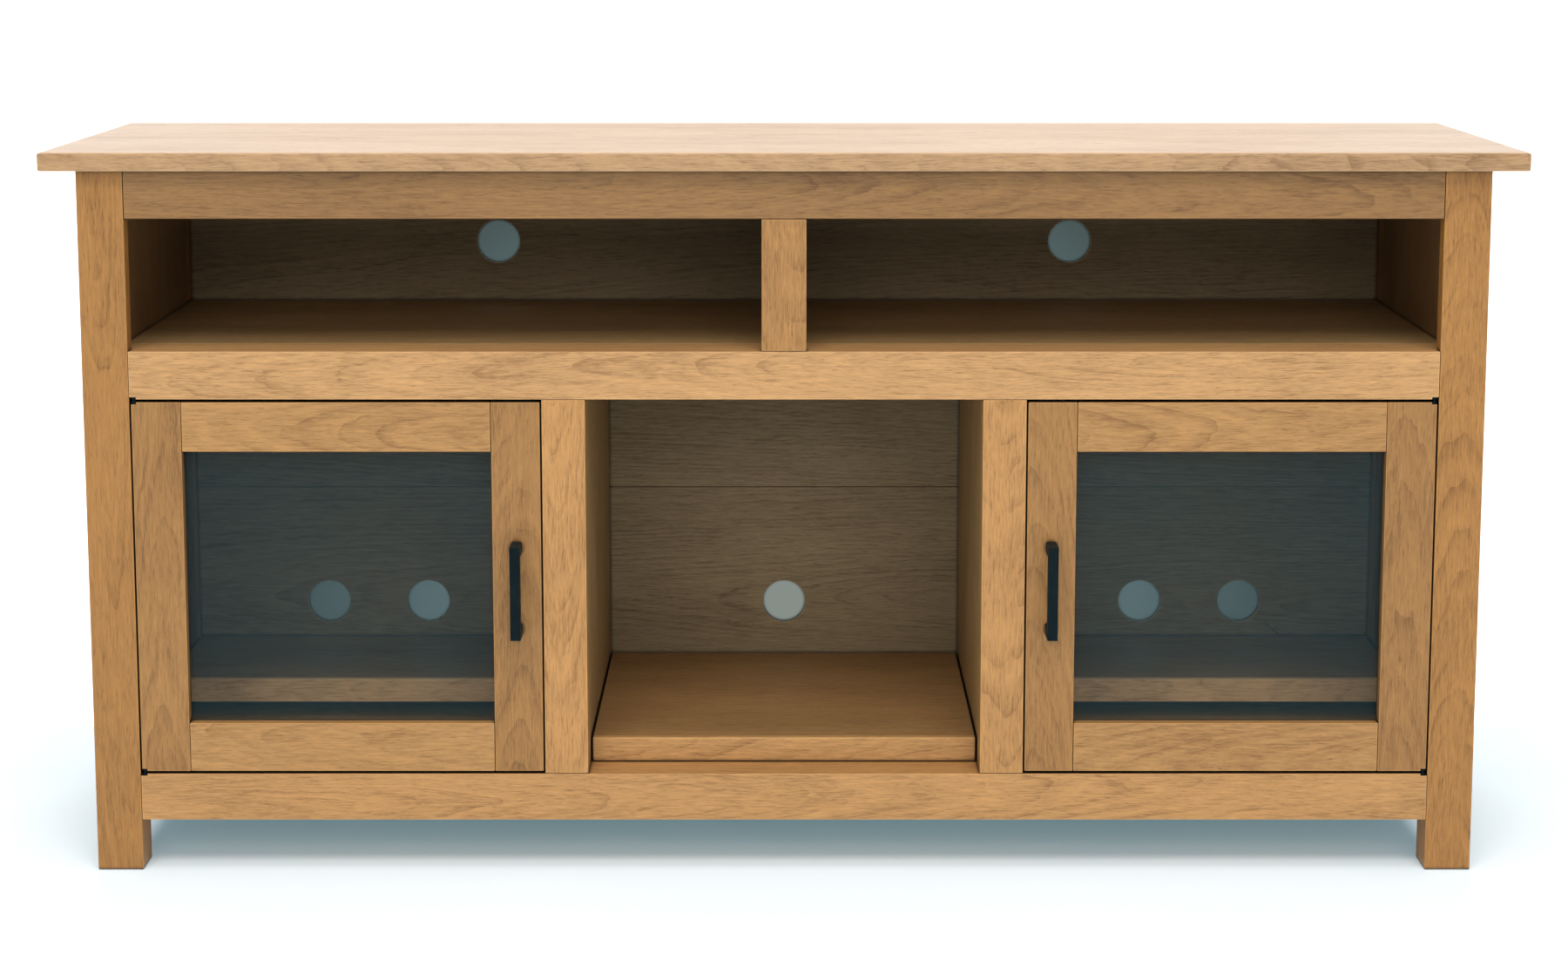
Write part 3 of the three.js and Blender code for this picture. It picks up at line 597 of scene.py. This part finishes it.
# Radius and height of each kind of head
LEAF_SCREW = (1.9 * MM, 1.2 * MM)
PULL_SCREW = (4.2 * MM, 2.2 * MM)
STRIKE_SCREW = (1.7 * MM, 0.4 * MM)
CATCH_SCREW = (3.0 * MM, 1.6 * MM)
NAIL = (2.6 * MM, 0.6 * MM)

LEAF_SCREW_DEPTH = 1.3 * MM
PIVOT_EDGE = 2.5 * MM
LEAF_THICKNESS = 2 * MM
LEAF_WIDTH = 10 * MM
LEAF_SCREWS_FROM_PIVOT = (12 * MM, 25 * MM)
PULL_LEG_HEIGHT = 12 * MM
CATCH_SCREW_INSET = 7 * MM
NAIL_EDGE_INSET = 5 * MM
NAIL_PITCH = 110 * MM
NAIL_STRAY = MM


def cross(angle):
    """How far a cross recess reaches at an angle, as a share of the head's radius."""
    return 0.15 + 0.40 * abs(math.cos(2 * angle)) ** 6


def disc(angle):
    return 1.0


# The rings that a head is skinned over: share of its height, share of its radius, outline
SCREW_HEAD = (
    (0.0, 1.0, disc),
    (0.3, 1.0, disc),
    (0.75, 0.86, disc),
    (1.0, 0.62, disc),
    (1.0, 1.0, cross),
    (0.35, 0.75, cross),
)
NAIL_HEAD = ((0.0, 1.0, disc), (0.55, 1.0, disc), (0.9, 0.88, disc), (1.0, 0.6, disc))


def skin_head(points, faces, at, facing, radius, height, rings):
    turn = Vector((0, 0, 1)).rotation_difference(Vector(facing))
    first = len(points)
    for rise, share, outline in rings:
        for k in range(HEAD_SEGMENTS):
            angle = 2 * math.pi * k / HEAD_SEGMENTS
            reach = radius * share * outline(angle)
            point = Vector((reach * math.cos(angle), reach * math.sin(angle), rise * height))
            points.append(Vector(at) + turn @ point)
    for ring in range(len(rings) - 1):
        low = first + ring * HEAD_SEGMENTS
        for k in range(HEAD_SEGMENTS):
            after = (k + 1) % HEAD_SEGMENTS
            faces.append((low + k, low + after, low + HEAD_SEGMENTS + after, low + HEAD_SEGMENTS + k))
    faces.append(tuple(reversed(range(first, first + HEAD_SEGMENTS))))
    last = first + (len(rings) - 1) * HEAD_SEGMENTS
    faces.append(tuple(range(last, last + HEAD_SEGMENTS)))


def add_heads(name, places, size, rings, body, material):
    """One piece that holds a head at each (point, direction) of places."""
    radius, height = size
    points, faces = [], []
    for at, facing in places:
        skin_head(points, faces, at, facing, radius, height, rings)
    mesh = bpy.data.meshes.new(name)
    mesh.from_pydata(points, [], faces)
    heads = bpy.data.objects.new(name, mesh)
    bpy.context.scene.collection.objects.link(heads)
    wear(heads, material)
    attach(heads, body)


def leaf_screws(leaf, face, facing):
    """Screws sunk in a hinge leaf, at their distances from the pivot towards the middle."""
    low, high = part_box(leaf)
    side = 1 if low.x > 0 else -1
    outer = high.x if side > 0 else low.x
    y = high.y - LEAF_WIDTH / 2
    sunk = face - LEAF_SCREW_DEPTH * facing
    reaches = [PIVOT_EDGE + far for far in LEAF_SCREWS_FROM_PIVOT]
    return [((outer - side * reach, y, sunk), (0, 0, facing)) for reach in reaches]


def add_hinge_screws(side, material):
    top_frame = f"{side}_top_hinge_frame_leaf"
    bottom_frame = f"{side}_bottom_hinge_frame_leaf"
    places = leaf_screws(top_frame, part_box(top_frame)[1].z - LEAF_THICKNESS, -1)
    places += leaf_screws(bottom_frame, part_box(bottom_frame)[0].z + LEAF_THICKNESS, 1)
    name = f"{side}_frame_leaf_screws"
    add_heads(name, places, LEAF_SCREW, SCREW_HEAD, "cabinet", material)
    top_door = f"{side}_top_hinge_door_leaf"
    bottom_door = f"{side}_bottom_hinge_door_leaf"
    places = leaf_screws(top_door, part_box(top_door)[1].z, 1)
    places += leaf_screws(bottom_door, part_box(bottom_door)[0].z, -1)
    name = f"{side}_door_leaf_screws"
    add_heads(name, places, LEAF_SCREW, SCREW_HEAD, f"{side}_door", material)


def add_door_screws(side, material):
    """The screws that hold the pull, seen on the door's back, and the strike plate's screw."""
    low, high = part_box(f"{side}_door_handle")
    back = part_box(f"{side}_door_handle_stile")[1].y
    x = (low.x + high.x) / 2
    heights = (low.z + PULL_LEG_HEIGHT / 2, high.z - PULL_LEG_HEIGHT / 2)
    places = [((x, back, z), (0, 1, 0)) for z in heights]
    name = f"{side}_door_handle_screws"
    add_heads(name, places, PULL_SCREW, SCREW_HEAD, f"{side}_door", material)
    low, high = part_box(f"{side}_door_strike_plate")
    middle = (low + high) / 2
    places = [((middle.x, high.y, middle.z), (0, 1, 0))]
    name = f"{side}_door_strike_screw"
    add_heads(name, places, STRIKE_SCREW, SCREW_HEAD, f"{side}_door", material)


def add_catch_screws(side, material):
    low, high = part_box(f"{side}_magnetic_catch")
    y = (low.y + high.y) / 2
    ends = (low.x + CATCH_SCREW_INSET, high.x - CATCH_SCREW_INSET)
    places = [((x, y, low.z), (0, 0, -1)) for x in ends]
    name = f"{side}_catch_screws"
    add_heads(name, places, CATCH_SCREW, SCREW_HEAD, "cabinet", material)


def evenly(low, high, pitch):
    steps = max(1, round((high - low) / pitch))
    return [low + (high - low) * k / steps for k in range(steps + 1)]


def add_back_nails(panel, rows, material):
    """Nails along the panel's sides, its dividers, and the rows at these heights."""
    low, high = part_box(panel)
    draw = random.Random(panel)
    sides = [low.x + NAIL_EDGE_INSET, high.x - NAIL_EDGE_INSET]
    spots = [(x, z) for z in rows for x in evenly(*sides, NAIL_PITCH)]
    uprights = list(sides)
    for side in ("left", "right"):
        near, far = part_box(f"{side}_divider_panel")
        uprights.append((near.x + far.x) / 2)
    divider_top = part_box("left_divider_panel")[1].z
    for x in uprights:
        for z in evenly(low.z + 2 * NAIL_EDGE_INSET, high.z - 2 * NAIL_EDGE_INSET, NAIL_PITCH)[1:-1]:
            if x in sides or z < divider_top:
                spots.append((x, z))
    places = []
    for x, z in spots:
        across, up = draw.uniform(-1, 1) * NAIL_STRAY, draw.uniform(-1, 1) * NAIL_STRAY
        across = 0.0 if x in sides else across
        places.append(((x + across, high.y, z + up), (0, 1, 0)))
    name = f"{panel}_nails"
    add_heads(name, places, NAIL, NAIL_HEAD, "cabinet", material)


def middle_height(node):
    low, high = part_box(node)
    return (low.z + high.z) / 2


def add_fasteners():
    plated, black = bpy.data.materials["zinc"], bpy.data.materials["black_metal"]
    for side in ("left", "right"):
        add_hinge_screws(side, black)
        add_door_screws(side, plated)
        add_catch_screws(side, plated)
    upper_rows = (middle_height("rear_top_rail"), middle_height("upper_shelf_panel"))
    lower_rows = (middle_height("floor_panel"), middle_height("rear_bottom_rail"))
    add_back_nails("upper_back_panel", upper_rows, plated)
    add_back_nails("lower_back_panel", lower_rows, plated)


# ---------------------------------------------------------------- studio

STUDIO_WHITE = (0.90, 0.90, 0.90)
MOTTLE_RATE = 0.7
MOTTLE_SHARE = 0.985
NEAR_GLOW = (0.29, 0.69, 0.91)
NEAR_GLOW_STRENGTH = 0.225
FAR_GLOW_STARTS = 1.1
FAR_GLOW_ENDS = 3.0
WALL_GLOW_SEEN = 0.6
WALL_GLOW_MIRRORED = 0.34
STUDIO_HALF = 14.0
WALL_GAP = 0.14
WALL_HEIGHT = 8.0
CARD_GAP = 0.5 * MM
CARD_RADIUS = 30 * MM
CARD_SIDES = 32

# The rings of a card: share of its radius, and share of its brightness
CARD_RINGS = ((0.0, 1.0), (0.72, 1.0), (0.79, 0.75), (0.84, 0.15), (1.0, 0.10))

# The shaded wall, from low in the middle to SHADE_REACH away
SHADE_MIDDLE = (0.246, 0.275, 0.251)
SHADE_HALFWAY = (0.115, 0.170, 0.175)
SHADE_EDGE = (0.070, 0.098, 0.098)
SHADE_REACH = 0.56

KEY_COLOUR = (1.0, 0.985, 0.96)
FILL_COLOUR = (0.80, 0.94, 1.0)
FILL_STRENGTH = 0.22

# Each softbox: its place, what it points at, its size, its power in watts and its colour
SOFTBOXES = {
    "key": ((0.0, -3.1, 4.1), (0.0, 0.0, 0.4), (5.0, 1.6), 130.0, KEY_COLOUR),
    "overhead": ((0.0, -0.4, 4.6), (0.0, -0.4, 0.0), (5.0, 3.0), 108.0, WHITE),
    "front_fill": ((0.0, -5.5, 2.6), (0.0, 0.0, 0.3), (5.0, 2.2), 106.0, WHITE),
    "rear_light": ((0.0, 3.4, 3.6), (0.0, 0.2, 0.4), (4.0, 1.4), 100.0, WHITE),
}


def only_from_front(g, shown):
    clear = g.node("ShaderNodeBsdfTransparent", {}).outputs[0]
    behind = g.node("ShaderNodeNewGeometry", {}).outputs["Backfacing"]
    return g.node("ShaderNodeMixShader", {0: behind, 1: shown, 2: clear}).outputs[0]


def matt_white(g, place):
    mottle = g.noise(g.scaled(place, (MOTTLE_RATE, MOTTLE_RATE, MOTTLE_RATE)))
    stops = [(0.0, tinted(STUDIO_WHITE, MOTTLE_SHARE)), (1.0, STUDIO_WHITE)]
    white = g.ramp(g.spread(mottle, *NOISE_RANGE), stops)
    return g.node("ShaderNodeBsdfDiffuse", {"Color": white}).outputs[0]


def floor_material(name):
    """Matt paint. A faint cool glow keeps its shadows pale, and far off it is plain white."""
    material, g = new_material(name)
    place = g.node("ShaderNodeTexCoord", {}).outputs["Object"]
    near = {"Color": (*NEAR_GLOW, 1.0), "Strength": NEAR_GLOW_STRENGTH}
    near = g.node("ShaderNodeEmission", near).outputs[0]
    shown = g.node("ShaderNodeAddShader", {0: matt_white(g, place), 1: near}).outputs[0]
    away = g.node("ShaderNodeVectorMath", {0: place}, operation="LENGTH").outputs["Value"]
    seen = g.node("ShaderNodeLightPath", {}).outputs["Is Camera Ray"]
    share = g.math("MULTIPLY", g.spread(away, FAR_GLOW_STARTS, FAR_GLOW_ENDS), seen)
    far = g.node("ShaderNodeEmission", {"Color": (*WHITE, 1.0), "Strength": share}).outputs[0]
    shown = g.node("ShaderNodeAddShader", {0: shown, 1: far}).outputs[0]
    g.node("ShaderNodeOutputMaterial", {"Surface": shown})
    return material


def wall_material(name):
    """Brightly lit matt paint, which shows from its front only."""
    material, g = new_material(name)
    place = g.node("ShaderNodeTexCoord", {}).outputs["Object"]
    seen = g.node("ShaderNodeLightPath", {}).outputs["Is Camera Ray"]
    strength = g.math("ADD", g.math("MULTIPLY", seen, WALL_GLOW_SEEN), WALL_GLOW_MIRRORED)
    glow = {"Color": (*WHITE, 1.0), "Strength": strength}
    glow = g.node("ShaderNodeEmission", glow).outputs[0]
    shown = g.node("ShaderNodeAddShader", {0: matt_white(g, place), 1: glow}).outputs[0]
    g.node("ShaderNodeOutputMaterial", {"Surface": only_from_front(g, shown)})
    return material


def shade_material(name, lowest):
    """The shaded wall close behind the cabinet: lightest low in the middle, dark at each rim.

    lowest is the height of the lowest hole's middle."""
    material, g = new_material(name)
    place = g.node("ShaderNodeTexCoord", {}).outputs["Object"]
    parts = g.node("ShaderNodeSeparateXYZ", {0: place})
    rise = g.math("SUBTRACT", parts.outputs[2], lowest)
    across = g.math("MULTIPLY", parts.outputs[0], parts.outputs[0])
    away = g.math("SQRT", g.math("ADD", across, g.math("MULTIPLY", rise, rise)))
    stops = [(0.0, SHADE_MIDDLE), (0.75, SHADE_HALFWAY), (1.0, SHADE_EDGE)]
    glow = g.ramp(g.spread(away, 0.0, SHADE_REACH), stops)
    share = g.node("ShaderNodeAttribute", {}, attribute_name="share").outputs["Fac"]
    shown = g.node("ShaderNodeEmission", {"Color": glow, "Strength": share}).outputs[0]
    g.node("ShaderNodeOutputMaterial", {"Surface": only_from_front(g, shown)})
    return material


def studio_sheet(name, corners, faces, material):
    mesh = bpy.data.meshes.new(name)
    mesh.from_pydata(corners, [], faces)
    sheet = bpy.data.objects.new(name, mesh)
    bpy.context.scene.collection.objects.link(sheet)
    wear(sheet, material)
    return sheet


def hole_middles():
    """The (x, z) of each cable hole."""
    middles = []
    for opening in frame["record"]["physics"]["openings"]:
        if opening["name"].endswith("cable_hole"):
            low, high = opening["box_m"]
            middles.append(((low[0] + high[0]) / 2, (low[2] + high[2]) / 2))
    return middles


def add_hole_cards():
    """A small card close behind each cable hole stands for the shaded wall that it shows.

    The cards show from their front only, and they keep the rear light out of the holes."""
    points, faces, shares = [], [], []
    y = CAD_BOX[1].y + CARD_GAP
    middles = hole_middles()
    for x, z in middles:
        first = len(points)
        for reach, share in CARD_RINGS:
            for k in range(CARD_SIDES):
                angle = 2 * math.pi * k / CARD_SIDES
                across = reach * CARD_RADIUS * math.cos(angle)
                up = reach * CARD_RADIUS * math.sin(angle)
                points.append((x + across, y, z + up))
                shares.append(share)
        for ring in range(len(CARD_RINGS) - 1):
            low = first + ring * CARD_SIDES
            for k in range(CARD_SIDES):
                after = (k + 1) % CARD_SIDES
                outer = (low + CARD_SIDES + k, low + CARD_SIDES + after)
                faces.append((low + k, *outer, low + after))
    name = "studio_hole_cards"
    material = shade_material(name, min(z for x, z in middles))
    cards = studio_sheet(name, points, faces, material)
    layer = cards.data.attributes.new("share", "FLOAT", "POINT")
    layer.data.foreach_set("value", shares)
    cards.visible_diffuse = False


def make_backdrop():
    """A floor, and a wall behind the cabinet that shows from its front only."""
    x = STUDIO_HALF
    face = [(0, 1, 2, 3)]
    ground = [(-x, -x, 0), (x, -x, 0), (x, x, 0), (-x, x, 0)]
    studio_sheet("studio_floor", ground, face, floor_material("studio_floor"))
    y = CAD_BOX[1].y + WALL_GAP
    outline = [(-x, y, 0), (x, y, 0), (x, y, WALL_HEIGHT), (-x, y, WALL_HEIGHT)]
    wall = studio_sheet("studio_wall", outline, face, wall_material("studio_wall"))
    wall.visible_diffuse = False
    wall.visible_transmission = False
    wall.visible_shadow = False
    add_hole_cards()


def add_softbox(name, at, towards, size, power, colour):
    light = bpy.data.lights.new(name, "AREA")
    light.shape = "RECTANGLE"
    light.size, light.size_y = size
    light.energy = power
    light.color = colour
    softbox = bpy.data.objects.new(name, light)
    softbox.location = at
    aim = Vector(towards) - Vector(at)
    softbox.rotation_euler = aim.to_track_quat("-Z", "Y").to_euler()
    bpy.context.scene.collection.objects.link(softbox)


def make_world():
    """White to the camera, and a dim cool fill to everything else."""
    world = bpy.data.worlds.new("studio")
    world.use_nodes = True
    bpy.context.scene.world = world
    g = Graph(world.node_tree)
    seen = g.node("ShaderNodeBackground", {"Color": (*WHITE, 1.0), "Strength": 1.0})
    fill = {"Color": (*FILL_COLOUR, 1.0), "Strength": FILL_STRENGTH}
    fill = g.node("ShaderNodeBackground", fill)
    path = g.node("ShaderNodeLightPath", {}).outputs["Is Camera Ray"]
    mixed = g.node("ShaderNodeMixShader", {0: path, 1: fill.outputs[0], 2: seen.outputs[0]})
    g.node("ShaderNodeOutputWorld", {"Surface": mixed.outputs[0]})


def make_studio():
    make_world()
    make_backdrop()
    for name, settings in SOFTBOXES.items():
        add_softbox(name, *settings)
    view = bpy.context.scene.view_settings
    view.view_transform = "Standard"
    view.look = "None"
    view.exposure = 0.0
    view.gamma = 1.0


make_camera()
dress_nodes()
add_fasteners()
make_studio()
